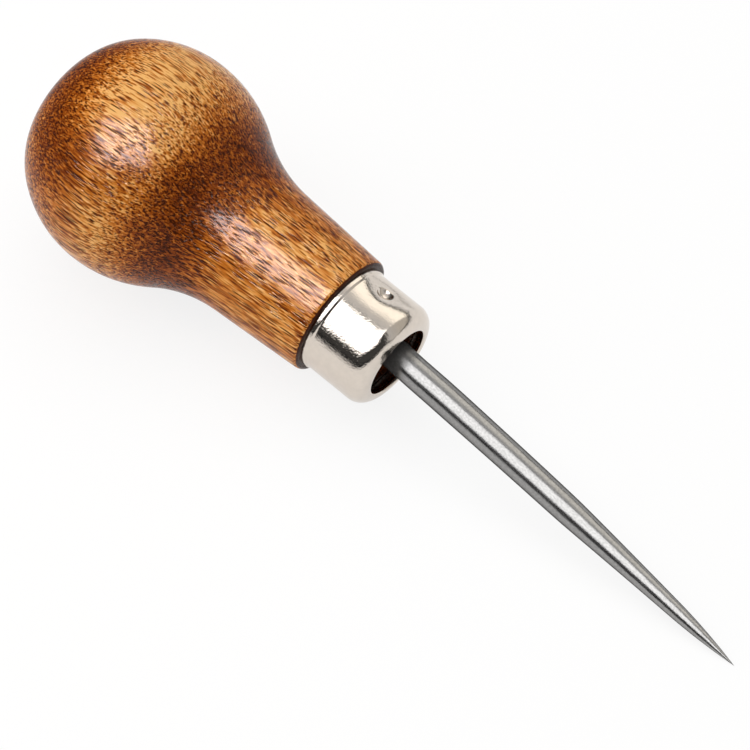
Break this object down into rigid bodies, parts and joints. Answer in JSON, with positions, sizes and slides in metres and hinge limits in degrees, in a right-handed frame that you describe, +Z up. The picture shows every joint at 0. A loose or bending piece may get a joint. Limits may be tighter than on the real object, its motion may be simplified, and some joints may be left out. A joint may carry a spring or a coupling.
{
  "type": "bradawl",
  "caption": "Bradawl for starting screw and nail holes: a pear-shaped turned wooden handle, a plated ferrule staked to it, and a round steel blade that tapers to a sharp ground point.",
  "frame": {"origin": "on the bench, under the middle of the tool's bounding box, as it lies on its bulb and the tip of its blade", "axes": "+X from the butt of the handle towards the point, +Y to the side, +Z up from the bench"},
  "size_m": [0.1228, 0.034, 0.034],
  "materials": {
    "handle_wood": "stained open-pored hardwood under clear varnish",
    "ferrule_plate": "bright nickel plate with a fine orange-peel",
    "blade_steel": "satin drawn steel"
  },
  "bodies": {
    "root": {"handle": "handle_wood", "ferrule": "ferrule_plate", "blade": "blade_steel"}
  },
  "joints": []
}
